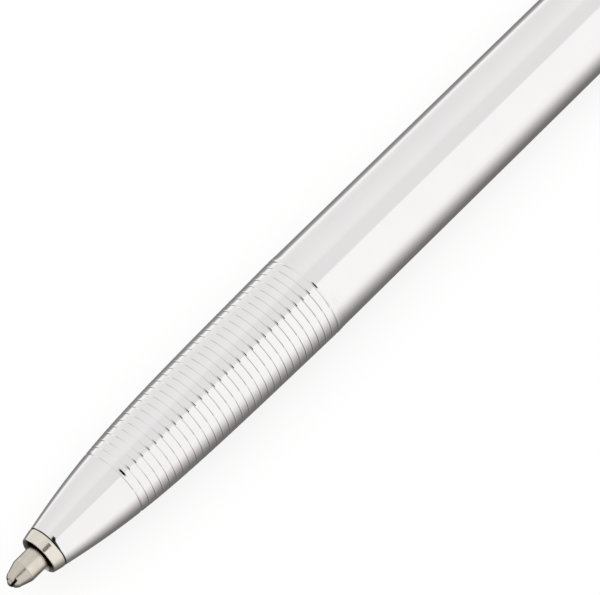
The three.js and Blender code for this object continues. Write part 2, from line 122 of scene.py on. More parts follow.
def supported(profile, closed):
    """Adds a point near both ends of each long straight stretch, which keeps its shading flat."""
    out = []
    count = len(profile)
    for i in range(count if closed else count - 1):
        a, b = Vector(profile[i]), Vector(profile[(i + 1) % count])
        out.append(tuple(a))
        length = (b - a).length
        if length > 6 * SUPPORT_ROOM:
            out.append(tuple(a.lerp(b, SUPPORT_ROOM / length)))
            pieces = int(length / LONGEST_STRETCH)
            for k in range(1, pieces + 1):
                out.append(tuple(a.lerp(b, k / (pieces + 1))))
            out.append(tuple(b.lerp(a, SUPPORT_ROOM / length)))
    if not closed:
        out.append(tuple(profile[-1]))
    return out


def lathe_mesh(profile, segments, thread=None, fillet=0.04):
    """Vertices and faces, in mm about the X axis, of an outline of (x, r) turned round it.

    thread is its front and rear x, its pitch, its depth and the radius that it is cut in."""
    closed = not (profile[0][1] == 0 and profile[-1][1] == 0)
    points = supported(softened(profile, fillet, closed), closed)
    if thread:
        front, rear, pitch, depth, radius = thread
        fine = []
        count = len(points)
        for i, point in enumerate(points):
            fine.append(point)
            after = points[(i + 1) % count]
            if abs(point[1] - radius) < SAME_RADIUS and abs(after[1] - radius) < SAME_RADIUS:
                steps = max(1, int(abs(after[0] - point[0]) / (pitch / THREAD_STEPS)))
                for k in range(1, steps):
                    fine.append((point[0] + (after[0] - point[0]) * k / steps, radius))
        points = fine
    verts, rings = [], []
    for x, r in points:
        if r < ON_AXIS:
            rings.append([len(verts)])
            verts.append((x, 0.0, 0.0))
            continue
        ring = []
        threaded = thread and abs(r - radius) < SAME_RADIUS and front < x < rear
        for s in range(segments):
            angle = 2 * math.pi * s / segments
            radius_here = r
            if threaded:
                phase = ((x - front) / pitch - s / segments) % 1
                wave = 1 - abs(2 * phase - 1)
                fade = min(1, (x - front) / pitch, (rear - x) / pitch)
                radius_here = r + depth * fade * min(1, max(0, 1.5 * wave - 0.2))
            ring.append(len(verts))
            verts.append((x, radius_here * math.sin(angle), radius_here * math.cos(angle)))
        rings.append(ring)
    faces = []
    count = len(rings)
    for i in range(count if closed else count - 1):
        a, b = rings[i], rings[(i + 1) % count]
        for s in range(segments):
            t = (s + 1) % segments
            if len(a) == 1 and len(b) == 1:
                continue
            if len(a) == 1:
                faces.append((a[0], b[s], b[t]))
            elif len(b) == 1:
                faces.append((a[s], b[0], a[t]))
            else:
                faces.append((a[s], b[s], b[t], a[t]))
    return verts, faces


def turned(name, profile, material, segments=128, thread=None, fillet=0.04, painted_shade=None):
    """A turned piece on the pen's axis. Its last argument gives the share of painted shade and
    painted dark reflection at x and an offset.
    """
    verts, faces = lathe_mesh(profile, segments, thread, fillet)
    obj = mesh_object(name, [world(*v) for v in verts], faces, material)
    if painted_shade:
        values = [painted_shade(x, Vector((0, y, z))) for x, y, z in verts]
        obj.data.attributes.new("painted_shade", "FLOAT", "POINT").data.foreach_set("value", values)
    return obj


def sharpen(obj, degrees):
    """Keeps the edges sharp that turn by more than an angle."""
    obj.data.set_sharp_from_angle(angle=math.radians(degrees))


def loft_object(name, rings, material):
    """A skin with closed ends over rings of points in the shared frame."""
    size = len(rings[0])
    verts = [tuple(p) for ring in rings for p in ring]
    faces = []
    for r in range(len(rings) - 1):
        for i in range(size):
            a, b = r * size + i, r * size + (i + 1) % size
            faces.append((a, b, b + size, a + size))
    faces.append(tuple(range(size))[::-1])
    faces.append(tuple((len(rings) - 1) * size + i for i in range(size)))
    return mesh_object(name, verts, faces, material)


def cut(obj, cutters):
    """Takes the cutters out of the object and removes them."""
    for cutter in cutters:
        modifier = obj.modifiers.new("cut", "BOOLEAN")
        modifier.operation = "DIFFERENCE"
        modifier.solver = "EXACT"
        modifier.object = cutter
    bpy.context.view_layer.update()
    graph = bpy.context.evaluated_depsgraph_get()
    mesh = bpy.data.meshes.new_from_object(obj.evaluated_get(graph))
    obj.modifiers.clear()
    old = obj.data
    obj.data = mesh
    mesh.name = obj.name
    bpy.data.meshes.remove(old)
    for poly in mesh.polygons:
        poly.use_smooth = True
    sharpen(obj, 32)
    for cutter in cutters:
        bpy.data.objects.remove(cutter)


def stand_for(obj, node, body):
    """Puts the object in the place of a CAD node, on that node's body."""
    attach(obj, body)
    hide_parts(node)


# Camera, at the photograph's angle

FRAME_W, FRAME_H, FOCAL_PX = 600, 595, 5150   # pixels
SENSOR = 36                                   # mm
azimuth, elevation = math.radians(-47.85), math.radians(62.26)
distance = 0.48488                            # m, from the ball's front
back = Vector((math.sin(azimuth) * math.cos(elevation),
               -math.cos(azimuth) * math.cos(elevation), math.sin(elevation)))
right = Vector((math.cos(azimuth), math.sin(azimuth), 0))
up = back.cross(right)
tip_pixel = (8.7, 585.3)
offset_right = (tip_pixel[0] - FRAME_W / 2) / FOCAL_PX
offset_up = (FRAME_H / 2 - tip_pixel[1]) / FOCAL_PX
tip = Vector(world(0, 0, 0))
viewpoint = tip + distance * (back - right * offset_right - up * offset_up)
camera_data = bpy.data.cameras.new("camera")
camera_data.sensor_width = SENSOR
camera_data.lens = FOCAL_PX * SENSOR / FRAME_W
camera_data.clip_end = 10
camera = bpy.data.objects.new("camera", camera_data)
camera.matrix_world = Matrix((
    (right.x, up.x, back.x, viewpoint.x),
    (right.y, up.y, back.y, viewpoint.y),
    (right.z, up.z, back.z, viewpoint.z),
    (0, 0, 0, 1),
))
scene.collection.objects.link(camera)
scene.camera = camera

# Across the pen: towards the side that the photograph shows, and a quarter turn on from it
OVER = Vector((0, back.y, back.z)).normalized()
BESIDE = Vector((0, -OVER.z, OVER.y))


# Materials

BUMP_DEPTH = 0.00001           # m
# near black, for painted shade and painted dark reflections
PAINTED_SHADE = (0.010, 0.007, 0.006)
INK_FILM = (0.008, 0.007, 0.009)


class Nodes:
    """Short names for building a node tree."""

    def __init__(self, tree):
        self.tree = tree

    def add(self, kind, **settings):
        node = self.tree.nodes.new(kind)
        for key, value in settings.items():
            setattr(node, key, value)
        return node

    def link(self, a, b):
        self.tree.links.new(a, b)

    def math(self, operation, a, b=None):
        node = self.add("ShaderNodeMath", operation=operation)
        for socket, value in zip(node.inputs, (a, b)):
            if value is None:
                continue
            if isinstance(value, (int, float)):
                socket.default_value = value
            else:
                self.link(value, socket)
        return node.outputs[0]

    def ramp(self, value, stops):
        node = self.add("ShaderNodeValToRGB")
        elements = node.color_ramp.elements
        while len(elements) > 1:
            elements.remove(elements[-1])
        elements[0].position = stops[0][0]
        elements[0].color = shade(stops[0][1])
        for position, colour in stops[1:]:
            elements.new(position).color = shade(colour)
        self.link(value, node.inputs["Fac"])
        return node.outputs["Color"]

    def mix(self, share, first, second):
        node = self.add("ShaderNodeMix", data_type="RGBA")
        self.link(share, node.inputs["Factor"])
        self.link(first, node.inputs["A"])
        node.inputs["B"].default_value = shade(second)
        return node.outputs["Result"]

    def range(self, value, a, b, c, d, smooth=False):
        node = self.add("ShaderNodeMapRange")
        node.interpolation_type = "SMOOTHSTEP" if smooth else "LINEAR"
        for name, number in (("From Min", a), ("From Max", b), ("To Min", c), ("To Max", d)):
            node.inputs[name].default_value = number
        self.link(value, node.inputs["Value"])
        return node.outputs["Result"]

    def dot(self, place, vector):
        node = self.add("ShaderNodeVectorMath", operation="DOT_PRODUCT")
        self.link(place, node.inputs[0])
        node.inputs[1].default_value = vector
        return node.outputs["Value"]

    def noise(self, place, scale, detail, socket="Vector", **settings):
        node = self.add("ShaderNodeTexNoise", **settings)
        node.inputs["Scale"].default_value = scale
        node.inputs["Detail"].default_value = detail
        self.link(place, node.inputs[socket])
        return node.outputs["Fac"]

    def bump(self, height, strength, depth, normal=None):
        node = self.add("ShaderNodeBump")
        node.inputs["Strength"].default_value = strength
        node.inputs["Distance"].default_value = depth
        self.link(height, node.inputs["Height"])
        if normal:
            self.link(normal, node.inputs["Normal"])
        return node.outputs[0]

    def shader_mix(self, share, first, second):
        node = self.add("ShaderNodeMixShader")
        self.link(share, node.inputs["Fac"])
        self.link(first, node.inputs[1])
        self.link(second, node.inputs[2])
        return node.outputs[0]


def shade(colour):
    """A grey level or a colour, as the four numbers that a socket takes."""
    if isinstance(colour, (int, float)):
        return (colour, colour, colour, 1)
    return (*colour, 1)


def emptied(block):
    """The node tree of a new material or world, without the nodes that it starts with."""
    block.use_nodes = True
    block.node_tree.nodes.clear()
    return Nodes(block.node_tree)


def new_material(name):
    material = bpy.data.materials.new(name)
    n = emptied(material)
    shader = n.add("ShaderNodeBsdfPrincipled")
    output = n.add("ShaderNodeOutputMaterial")
    n.link(shader.outputs[0], output.inputs["Surface"])
    return material, n, shader


def ink_smear(n, place):
    """Share of ink film: a short smear over the lip and the ball, on the upper side. In m."""

    def along(vector):
        return n.math("SUBTRACT", n.dot(place, vector), tip.dot(vector))

    edge = n.noise(place, 6000, 2)
    wobble = n.math("MULTIPLY", n.math("SUBTRACT", edge, 0.5), 0.00012)
    length = along(Vector((1, 0, 0)))
    middle = n.range(length, 0.0001, 0.0007, 0.00021, 0.00014)
    off = n.math("ABSOLUTE", n.math("SUBTRACT", along(BESIDE), middle))
    across = n.range(n.math("ADD", off, wobble), 0.00011, 0.00018, 1, 0, smooth=True)
    end = n.range(n.math("ADD", length, wobble), 0.00064, 0.00076, 1, 0, smooth=True)
    top = n.range(along(OVER), 0.0, 0.0001, 0, 1)
    return n.math("MULTIPLY", n.math("MULTIPLY", across, end), top)


def metal(name, colour, worn, roughness, ring_scale=0, ring_bump=0, grain_bump=0, painted_shade=False,
          smear=False):
    """Metal with a slightly uneven tone, polish marks and, where turned, fine rings round X.

    roughness is its least and its most. One flag darkens the colour with the painted shade and
    painted dark reflections stored on the mesh; smear adds the film of ink."""
    material, n, shader = new_material(name)
    shader.inputs["Metallic"].default_value = 1
    place = n.add("ShaderNodeTexCoord").outputs["Object"]
    tone = n.ramp(n.noise(place, 260, 4), [(0.35, worn), (0.62, colour)])
    # painted shade and painted dark reflections, which darken the colour towards near black
    if painted_shade:
        painted_shade_share = n.add("ShaderNodeAttribute", attribute_name="painted_shade")
        tone = n.mix(painted_shade_share.outputs["Fac"], tone, PAINTED_SHADE)
    if smear:
        tone = n.mix(ink_smear(n, place), tone, INK_FILM)
    n.link(tone, shader.inputs["Base Color"])
    stretched = n.add("ShaderNodeMapping")
    stretched.inputs["Scale"].default_value = (40, 900, 900)
    n.link(place, stretched.inputs["Vector"])
    streaks = n.noise(stretched.outputs[0], 6, 3)
    n.link(n.range(streaks, 0.3, 0.75, *roughness), shader.inputs["Roughness"])
    normal = None
    if ring_scale:
        split = n.add("ShaderNodeSeparateXYZ")
        n.link(place, split.inputs[0])
        rings = n.noise(split.outputs["X"], ring_scale, 2, "W", noise_dimensions="1D")
        normal = n.bump(rings, ring_bump, BUMP_DEPTH)
    if grain_bump:
        normal = n.bump(n.noise(place, 9000, 2), grain_bump, BUMP_DEPTH, normal)
    if normal:
        n.link(normal, shader.inputs["Normal"])
    return material


def dull(name, colour, other, roughness, scale, bump_strength, coat=0.0):
    """Something that isn't metal, with an uneven tone and surface."""
    material, n, shader = new_material(name)
    place = n.add("ShaderNodeTexCoord").outputs["Object"]
    noise = n.noise(place, scale, 5)
    n.link(n.ramp(noise, [(0.3, other), (0.7, colour)]), shader.inputs["Base Color"])
    n.link(n.range(noise, 0.2, 0.8, *roughness), shader.inputs["Roughness"])
    shader.inputs["Coat Weight"].default_value = coat
    n.link(n.bump(noise, bump_strength, 2 * BUMP_DEPTH), shader.inputs["Normal"])
    return material


CHROME = ((0.86, 0.855, 0.857), (0.85, 0.842, 0.846), (0.012, 0.035))
chrome = metal("chrome", *CHROME)
chrome_grip = metal("chrome_grip", *CHROME, painted_shade=True)
chrome_fittings = metal("chrome_fittings", (0.86, 0.856, 0.86), (0.84, 0.835, 0.84), (0.03, 0.07),
                        grain_bump=0.02)
nickel = metal("nickel", (0.78, 0.742, 0.665), (0.71, 0.665, 0.57), (0.09, 0.17),
               ring_scale=14000, ring_bump=0.16, grain_bump=0.06, painted_shade=True)
nib_metal = metal("nib_metal", (0.73, 0.685, 0.605), (0.54, 0.485, 0.40), (0.16, 0.32),
                  ring_scale=22000, ring_bump=0.35, grain_bump=0.25, painted_shade=True, smear=True)
spring_steel = metal("spring_steel", (0.72, 0.74, 0.76), (0.62, 0.64, 0.67), (0.16, 0.30),
                     grain_bump=0.1)
rod_steel = metal("rod_steel", (0.72, 0.74, 0.76), (0.64, 0.66, 0.69), (0.14, 0.26),
                  ring_scale=9000, ring_bump=0.3, grain_bump=0.05)
brass = metal("brass", (0.78, 0.65, 0.38), (0.66, 0.52, 0.28), (0.16, 0.30),
              ring_scale=9000, ring_bump=0.3, grain_bump=0.06)
tube_brass = metal("tube_brass", (0.79, 0.67, 0.41), (0.70, 0.57, 0.33), (0.20, 0.34),
                   grain_bump=0.06)
carbide = metal("carbide", (0.50, 0.475, 0.45), (0.36, 0.34, 0.32), (0.10, 0.25),
                grain_bump=0.3, smear=True)
ink = dull("ink", (0.08, 0.09, 0.17), (0.05, 0.055, 0.12), (0.25, 0.4), 900, 0.2, coat=0.3)
sealant = dull("sealant", (0.85, 0.84, 0.8), (0.76, 0.74, 0.68), (0.45, 0.6), 1400, 0.3)


# Lower half

NOSE = [(5.4, 2.37), (15.32, 4.42344), (21.5, 4.4318), (41.4, 4.79)]   # Bezier points (x, r), mm
BARREL_R = 4.75
JOINT_X, JOINT_CHAMFER = 5.41, 0.045   # front of the barrel, at the nose ring
JOINT_RINGS = (5.46, 5.49, 5.52, 5.55, 5.58, 5.61, 5.64, 5.68, 5.73, 5.78)
CONE_X, CONE_STEPS = 5.82, 44   # the smooth cone, from the joint's last ring to the grooves
FIRST_GROOVE, PITCH, LAST = 14.4, 0.893, 30
# A groove's front edge, lip, end of its floor, flank and depth, in mm from its place
PLAIN_GROOVE = (-0.15, 0.008, -0.028, 0.085, 0.035)
OTHER_GROOVES = {
    0: (-0.15, 0.008, 0.11, 0.18, 0.052),       # wider, with a flat floor
    LAST: (-0.25, 0.002, 0.02, 0.13, 0.05),     # falls in gently
}
EDGE = 0.012                    # from a groove's front edge to the ring before it
HELD = 0.02                     # from a dark flank to the rings that keep the ends of its painted reflection sharp


def nose_point(t):
    """A point (x, r) of the nose's curve."""
    u = 1 - t
    return tuple(
        u ** 3 * a + 3 * u * u * t * b + 3 * u * t * t * c + t ** 3 * d
        for a, b, c, d in zip(*NOSE)
    )


def nose_radius(x):
    """Radius of the nose at x, found by halving."""
    low, high = 0.0, 1.0
    for _ in range(40):
        middle = (low + high) / 2
        if nose_point(middle)[0] < x:
            low = middle
        else:
            high = middle
    return nose_point(high)[1]


def on_nose(x, depth=0.0):
    """The outline's point at x, at a depth under the nose's curve."""
    return (x, nose_radius(x) - depth)


def lower_barrel_profile():
    """The nose with its grooves, the plain tube, and the bore from the rear to the front."""
    profile = [on_nose(JOINT_X, JOINT_CHAMFER)]
    profile += [on_nose(x) for x in JOINT_RINGS]
    cone_end = FIRST_GROOVE + PLAIN_GROOVE[0]
    profile += [on_nose(CONE_X + (cone_end - CONE_X) * i / CONE_STEPS) for i in range(CONE_STEPS)]
    for i in range(LAST + 1):
        x = FIRST_GROOVE + i * PITCH
        front, lip, floor_end, flank, deep = OTHER_GROOVES.get(i, PLAIN_GROOVE)
        front, floor_end = x + front, x + floor_end
        rear = floor_end + flank
        # over the lip and down the steep front corner to the floor
        profile += [on_nose(front - EDGE), on_nose(front + 0.01, lip),
                    on_nose(x - 0.07, deep - 0.006), on_nose(x - 0.055, deep)]
        # along the floor and up the flank
        dark_flank = i in (0, LAST)
        if dark_flank:
            profile.append(on_nose(floor_end - HELD, deep))
        profile += [on_nose(floor_end, deep), on_nose(rear)]
        if dark_flank:
            profile.append(on_nose(rear + HELD))
        # the land as far as the next groove
        if i < LAST:
            next_front = x + PITCH + PLAIN_GROOVE[0] - EDGE
            profile += [on_nose(rear + (next_front - rear) * k / 3) for k in (1, 2)]
    return profile + [
        (41.42, 4.79), (41.6, 4.786), (42.2, 4.756), (42.5, BARREL_R),
        (83.87, BARREL_R), (84, 4.62), (84, 4.12), (83.8, 4.05),
        (45.5, 4.05), (44, 2.525), (15.55, 2.525), (15.55, 2.245),
        (7.2, 2.245), (7.2, 1.95), (JOINT_X, 1.95),
    ]


FADE = 4    # degrees round the pen in which a patch of painted shade fades out


def upper_share(offset, start, end):
    """1 where a point lies between two angles round from OVER, in degrees, and 0 outside."""
    angle = math.degrees(math.atan2(offset.dot(BESIDE), offset.dot(OVER)))
    return max(0.0, min(1.0, (angle - start) / FADE + 0.5, (end - angle) / FADE + 0.5))


# Painted shade in a groove's front corner, and the patches round the pen that add to it or
# take from it, each as an amount between two angles in degrees
CORNER_PAINTED_SHADE = 0.14
ROUND_THE_GRIP = ((-0.08, -60, -18), (-0.08, 4, 22), (0.08, 22, 38), (0.15, 34, 80))
NEAR_THE_NOSE = ((0.08, 2, 34), (-0.08, -60, -6))
NEAR_THE_TUBE = ((0.15, 30, 80),)


def patches(offset, amounts):
    """What the patches of painted shade add up to at an offset."""
    return sum(amount * upper_share(offset, start, end) for amount, start, end in amounts)


def groove_painted_shade(i, from_groove, offset):
    """Painted shade in groove i, at a distance from its place along the pen."""
    # the first and the last groove's flank carry a painted dark reflection of the tent's slot on
    # one side; the other grooves get painted shade in their front corner
    if i == 0 and 0.10 < from_groove < 0.30:
        return 0.97 * upper_share(offset, -8, 4.5)
    if i == LAST and 0.01 < from_groove < 0.16:
        return 0.95 * upper_share(offset, -3.6, 2.8)
    if not -0.155 < from_groove < -0.05:
        return 0.0
    corner = CORNER_PAINTED_SHADE + patches(offset, ROUND_THE_GRIP)
    if i in (0, LAST):
        return max(0.0, corner - 0.12)
    near_nose = max(0.0, 1 - i / 9)
    near_tube = max(0.0, min(1.0, (i - 18) / 6))
    return max(0.0, corner + near_tube * patches(offset, NEAR_THE_TUBE)
               + near_nose * patches(offset, NEAR_THE_NOSE))


def barrel_painted_shade(x, offset):
    """Painted shade in the joint at the ring and in the grooves, with painted dark reflections of
    the tent's slot.
    """
    # the joint's gap is painted near black as painted shade, outside it only on one side round the
    # pen
    if x < JOINT_RINGS[0] + 0.01:
        return 0.9 if offset.length < 2.37 else 0.9 * upper_share(offset, -7, 24)
    if x < CONE_X and offset.length > 2.2:
        # a painted dark reflection of the tent's slot, a tick that gets shorter away from the ring
        return upper_share(offset, -9, max(21 - (x - 5.47) * 170, 3 - (x - 5.6) * 25))
    i = round((x - FIRST_GROOVE) / PITCH)
    if offset.length > 3 and 0 <= i <= LAST:
        return groove_painted_shade(i, x - (FIRST_GROOVE + PITCH * i), offset)
    return 0.0


lower_barrel = turned("lower_barrel_shell", lower_barrel_profile(), chrome_grip, 160,
                      thread=(77.2, 83.4, 0.75, 0.22, 4.05), fillet=0.02, painted_shade=barrel_painted_shade)
stand_for(lower_barrel, "lower_barrel", "lower_half")


def ring_painted_shade(x, offset):
    """Painted shade on the nose ring's rear edge and in its bore, more on one side of the edge."""
    if x > 5.32:
        return 1.0
    if x > 5.27:
        return 0.35 + 0.6 * upper_share(offset, -2, 24)
    if offset.length < 1.9 and x < 7:
        return 1.0
    return 0.25 if offset.length < 1.99 else 0.0


nose_ring = turned("nose_ring_turned", [
    (4.06, 2.00), (4.06, 2.05), (4.12, 2.11), (4.22, 2.148), (4.6, 2.235), (5.05, 2.338),
    (5.25, 2.36), (5.33, 2.345), (5.345, 2.15), (5.4, 2.1), (5.4, 1.9),
    (7.2, 1.9), (7.2, 1.65), (4.55, 1.65), (4.45, 1.68),
], nickel, 128, fillet=0.03, painted_shade=ring_painted_shade)
stand_for(nose_ring, "nose_ring", "lower_half")


def spring_object():
    """Round wire with a close-wound turn at each end."""
    start, length, turns, coil, wire = 7.425, 8.55, 10, 1.85, 0.175
    per_turn, sides = 28, 14
    total = turns * per_turn
    ease, closed_part = 0.09, 0.042     # of the turns, and of the length, at each end

    def along(share):
        if share < ease:
            return share / ease * closed_part
        if share > 1 - ease:
            return 1 - (1 - share) / ease * closed_part
        return closed_part + (share - ease) / (1 - 2 * ease) * (1 - 2 * closed_part)

    def centre(i):
        angle = 2 * math.pi * i / per_turn
        return Vector((start + along(min(max(i / total, 0), 1)) * length,
                       coil * math.sin(angle), coil * math.cos(angle)))

    rings = []
    for i in range(total + 1):
        middle = centre(i)
        tangent = (centre(i + 1) - centre(i - 1)).normalized()
        out = Vector((0, middle.y, middle.z)).normalized()
        side = tangent.cross(out)
        rings.append([world(*(middle + wire * (out * math.cos(a) + side * math.sin(a))))
                      for a in (2 * math.pi * k / sides for k in range(sides))])
    return loft_object("return_spring_wire", rings, spring_steel)


spring = spring_object()
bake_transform(spring)
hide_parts("return_spring")


# Cartridge

BALL_R, BALL_STEPS = 0.5, 40
SOCKET_R, SOCKET_REAR, SOCKET_FRONT, SOCKET_STEPS = 0.53, 144.4, 70.1, 14   # mm, degrees

ball = turned("refill_ball_polished", [(0.0, 0)] + [
    (BALL_R - BALL_R * math.cos(a), BALL_R * math.sin(a))
    for a in (math.pi * i / BALL_STEPS for i in range(1, BALL_STEPS))
] + [(1.0, 0)], carbide, 96)
stand_for(ball, "refill_ball", "cartridge")

socket = [(BALL_R - SOCKET_R * math.cos(a), SOCKET_R * math.sin(a)) for a in
          (math.radians(SOCKET_REAR + (SOCKET_FRONT - SOCKET_REAR) * i / SOCKET_STEPS)
           for i in range(SOCKET_STEPS + 1))]
# the nib is a little darker all over, with a little more painted shade on one side round the pen
nib = turned("refill_nib_turned", [
    (0.32, 0.62), (0.36, 0.665), (0.46, 0.745), (0.58, 0.83), (0.70, 0.885), (0.79, 0.905),
    (0.83, 0.903), (0.90, 0.925), (1.2, 1.03), (1.6, 1.16), (1.9, 1.252), (2.0, 1.28),
    (2.0, 0.85), (4.5, 0.85), (4.5, 0.3),
] + socket, nib_metal, 128, fillet=0.02,
    painted_shade=lambda x, offset: 0.18 + 0.05 * upper_share(offset, 4, 70))
stand_for(nib, "refill_nib", "cartridge")

# inside the ring's mouth the neck is painted black as painted shade, and outside it gets a little
# painted shade on one side
neck = turned("refill_neck_turned", [
    (2.0, 1.262), (2.03, 1.28), (3.93, 1.28), (4.02, 1.28), (15.4, 1.28), (15.42, 1.25),
    (15.7, 1.25), (15.72, 1.28), (16.2, 1.28), (16.2, 1.975), (19.2, 1.975), (19.2, 0.3),
    (4.55, 0.3), (4.55, 0.9), (2.0, 0.9),
], nib_metal, 128, fillet=0.03,
    painted_shade=lambda x, offset: 1.0 if x > 4.0 else 0.10 * upper_share(offset, -80, 0))
stand_for(neck, "refill_neck", "cartridge")

tube = turned("refill_tube_drawn", [
    (16.2, 2.2), (16.26, 2.3), (16.4, 2.375), (18.1, 2.375), (18.2, 2.33), (18.45, 2.33),
    (18.55, 2.375), (86.6, 2.375), (86.7, 2.33), (86.95, 2.33), (87.05, 2.375),
    (88.72, 2.375), (88.8, 2.32), (88.8, 2.025), (16.2, 2.025),
], tube_brass, 128, fillet=0.05)
stand_for(tube, "refill_tube", "cartridge")

ink_body = turned("ink_column_fill", [
    (1.06, 0), (1.06, 0.25), (19.25, 0.25), (19.25, 1.975), (60.1, 1.975), (60.25, 1.9), (60.25, 0),
], ink, 64)
stand_for(ink_body, "ink_column", "cartridge")

float_body = turned("float_piston_moulded", [
    (60.7, 0), (60.5, 1.2), (60.3, 1.825), (60.45, 1.975), (61.2, 1.975), (61.3, 1.9),
    (61.8, 1.9), (61.9, 1.975), (62.65, 1.975), (62.8, 1.825), (62.6, 1.2), (62.4, 0),
], sealant, 64, fillet=0.08)
stand_for(float_body, "float_piston", "cartridge")

plug = turned("tail_plug_turned", [
    (86.5, 0), (86.5, 1.9), (86.6, 1.975), (88.8, 1.975), (88.8, 2.35), (88.84, 2.375),
    (89.7, 2.375), (90, 2.1), (90, 1.3), (89.86, 1.15), (89.86, 0.5), (89.95, 0.35), (89.95, 0),
], brass, 96)
stand_for(plug, "tail_plug", "cartridge")


# Plunger

cup = turned("refill_cup_turned", [
    (90.05, 0), (90.05, 2.525), (88.1, 2.525), (88.0, 2.6), (88.0, 2.8), (88.12, 2.925),
    (90.6, 2.925), (90.7, 2.85), (90.9, 2.85), (91.0, 2.925), (91.4, 2.925), (91.5, 2.85),
    (91.5, 1.25), (90.25, 1.25), (90.25, 0),
], brass, 96)
stand_for(cup, "refill_cup", "plunger")

rod = turned("plunger_rod_ground", [
    (90.3, 0), (90.3, 1.2), (91.5, 1.2), (91.5, 1.95), (91.56, 2.0), (104.9, 2.0), (105, 1.95),
    (105, 1.7), (128.8, 1.7), (129, 1.5), (129, 0),
], rod_steel, 96)
stand_for(rod, "plunger_rod", "plunger")

collar = turned("catch_collar_turned", [
    (105.0, 2.2), (105.2, 2.6), (106.42, 2.6), (106.49, 2.53), (106.49, 1.75), (105.0, 1.75),
], rod_steel, 96)
stand_for(collar, "catch_collar", "plunger")


def arc(x, r, size, steps):
    """Quarter round that ends at (x, r - size)."""
    return [(x - size * (1 - math.sin(a)), r - size * (1 - math.cos(a)))
            for a in (math.radians(90) * (i / steps) for i in range(steps + 1))]


cap = turned("plunger_cap_chromed", [
    (118.45, 1.75), (118.45, 3.05), (118.6, 3.2), *arc(131, 3.2, 0.9, 14), (131, 0),
    (129.05, 0), (129.05, 1.75),
], chrome_fittings, 128, fillet=0.03)
stand_for(cap, "plunger_cap", "plunger")


# Upper half

BUTTON_X = 104.35
CUTTER_SEGMENTS = 64


def towards_button(height, across, along):
    """A point height out along the button's axis, across it, and along the pen, mm."""
    out = -SIDE
    side = Vector((0, out.z, -out.y))
    return Vector((along, 0, 0)) + out * height + side * across


def side_turned(name, profile, material, segments, fillet):
    """A turned piece on the button's axis, with its outline as (height, r)."""
    verts, faces = lathe_mesh(profile, segments, None, fillet)
    return mesh_object(name, [world(*towards_button(x, y, BUTTON_X + z)) for x, y, z in verts],
                       faces, material)


def side_block(name, heights, across, along, material):
    """A box between two heights, two places across and two along the pen."""
    corners = [towards_button(h, a, x) for x in along for a in across for h in heights]
    faces = [(0, 1, 3, 2), (4, 6, 7, 5), (0, 4, 5, 1), (2, 3, 7, 6), (0, 2, 6, 4), (1, 5, 7, 3)]
    return mesh_object(name, [world(*c) for c in corners], faces, material, smooth=False)


upper_barrel = turned("upper_barrel_shell", [
    (84.0, 4.62), (84.13, 4.75), (118.87, 4.75), (119, 4.62), (119, 4.05), (84.0, 4.05),
], chrome, 160, fillet=0.04)
hole = side_turned("cut_hole", [(0, 0), (0, 1.45), (4.62, 1.45), (4.9, 1.6), (9, 1.6), (9, 0)],
                   chrome, CUTTER_SEGMENTS, 0)
counterbore = side_turned("cut_counterbore", [(0, 0), (0, 1.85), (4.3, 1.85), (4.3, 0)],
                          chrome, CUTTER_SEGMENTS, 0)
notch = side_block("cut_notch", (-9, 0), (-2.05, 2.05), (117.9, 121), chrome)
cut(upper_barrel, [hole, counterbore, notch])
stand_for(upper_barrel, "upper_barrel", "upper_half")

bush = turned("connector_bush_threaded", [
    (77.0, 3.7), (77.25, 3.95), (82.7, 3.95), (82.8, 3.6), (83.5, 3.6), (83.6, 3.95),
    (84.0, 3.95), (84.0, 4.0), (91.8, 4.0), (92, 3.85), (92, 3.075), (77.0, 3.075),
], brass, 128, thread=(77.25, 82.7, 0.75, -0.24, 3.95), fillet=0.04)
leaf_notch = side_block("cut_leaf", (0, 3.575), (-1.3, 1.3), (89.1, 93), brass)
cut(bush, [leaf_notch])
stand_for(bush, "connector_bush", "upper_half")

crown = turned("crown_turned", [
    (112.6, 3.94), (112.66, 4.0), (119, 4.0), (119, 4.62), (119.13, 4.75),
    *arc(125, 4.75, 1.1, 18), (125, 3.45), (124.9, 3.35), (112.6, 3.35),
], chrome_fittings, 160, fillet=0.03)
stand_for(crown, "crown", "upper_half")

guide = turned("guide_bush_turned", [
    (112.0, 3.6), (112.07, 3.675), (112.53, 3.675), (112.6, 3.6), (112.6, 3.3), (117.7, 3.3),
    (117.8, 3.2), (117.8, 1.95), (117.7, 1.85), (112.1, 1.85), (112.0, 1.95),
], brass, 96, fillet=0.03)
stand_for(guide, "guide_bush", "upper_half")

button = side_turned("side_button_domed", [
    (3.525, 0), (3.525, 1.6), (3.6, 1.7), (4.15, 1.7), (4.225, 1.62), (4.225, 1.3),
    *arc(6.0, 1.3, 0.78, 12), (6.0, 0),
], chrome_fittings, 96, 0.03)
stand_for(button, "side_button", "button")


def directed(line):
    """Each point of a line, with the line's direction there."""
    for i, (x, height) in enumerate(line):
        before, after = line[max(i - 1, 0)], line[min(i + 1, len(line) - 1)]
        yield x, height, Vector((after[0] - before[0], after[1] - before[1])).normalized()


